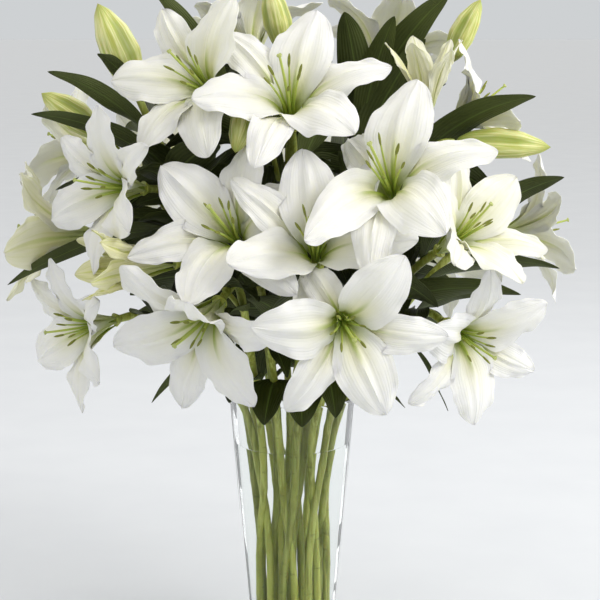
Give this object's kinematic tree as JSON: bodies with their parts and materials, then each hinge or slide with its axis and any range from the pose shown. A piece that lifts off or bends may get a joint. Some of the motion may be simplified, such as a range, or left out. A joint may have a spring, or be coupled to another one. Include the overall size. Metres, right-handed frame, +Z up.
{
  "type": "lilies in a vase",
  "caption": "Bouquet of white oriental lilies, open, half open and in bud, with dark leaves, standing in water in a tapered clear glass vase",
  "frame": {"origin": "centre of the flat foot of the vase, on the surface it stands on", "axes": "+Z up the vase, -Y towards the front of the bouquet, +X to the right seen from the front"},
  "size_m": [0.5571, 0.5202, 0.6701],
  "materials": {
    "vase": "clear polished glass",
    "water": "clear, still",
    "petal": "waxy white, pale green midrib and throat",
    "stamen": "pale yellow-green, matt",
    "bud": "waxy, pale yellow-green with green ribs",
    "stem_and_leaf": "waxy, dark green leaves and mid-green stems"
  },
  "bodies": {
    "root": {"back_left_petals": "petal", "back_left_stamens": "stamen", "back_middle_petals": "petal", "back_middle_stamens": "stamen", "back_right_petals": "petal", "back_right_stamens": "stamen", "bud_centre_left": "bud", "bud_far_left": "bud", "bud_right": "bud", "bud_top_left": "bud", "bud_top_middle": "bud", "bud_top_right": "bud", "crown_petals": "petal", "crown_right_petals": "petal", "crown_right_stamens": "stamen", "crown_stamens": "stamen", "far_left_petals": "petal", "far_left_stamens": "stamen", "far_low_left_petals": "petal", "far_low_left_stamens": "stamen", "far_right_petals": "petal", "far_right_stamens": "stamen", "far_top_left_petals": "petal", "far_top_left_stamens": "stamen", "front_left_petals": "petal", "front_left_stamens": "stamen", "front_low_petals": "petal", "front_low_stamens": "stamen", "front_middle_petals": "petal", "front_middle_stamens": "stamen", "front_right_petals": "petal", "front_right_stamens": "stamen", "half_open_left_petals": "petal", "half_open_right_petals": "petal", "left_petals": "petal", "left_stamens": "stamen", "low_left_petals": "petal", "low_left_stamens": "stamen", "low_right_petals": "petal", "low_right_stamens": "stamen", "right_petals": "petal", "right_stamens": "stamen", "shoulder_right_petals": "petal", "shoulder_right_stamens": "stamen", "stems_1": "stem_and_leaf", "stems_10": "stem_and_leaf", "stems_2": "stem_and_leaf", "stems_3": "stem_and_leaf", "stems_4": "stem_and_leaf", "stems_5": "stem_and_leaf", "stems_6": "stem_and_leaf", "stems_7": "stem_and_leaf", "stems_8": "stem_and_leaf", "stems_9": "stem_and_leaf", "top_left_petals": "petal", "top_left_stamens": "stamen", "top_middle_petals": "petal", "top_middle_stamens": "stamen", "vase": "vase", "water": "water"}
  },
  "joints": []
}
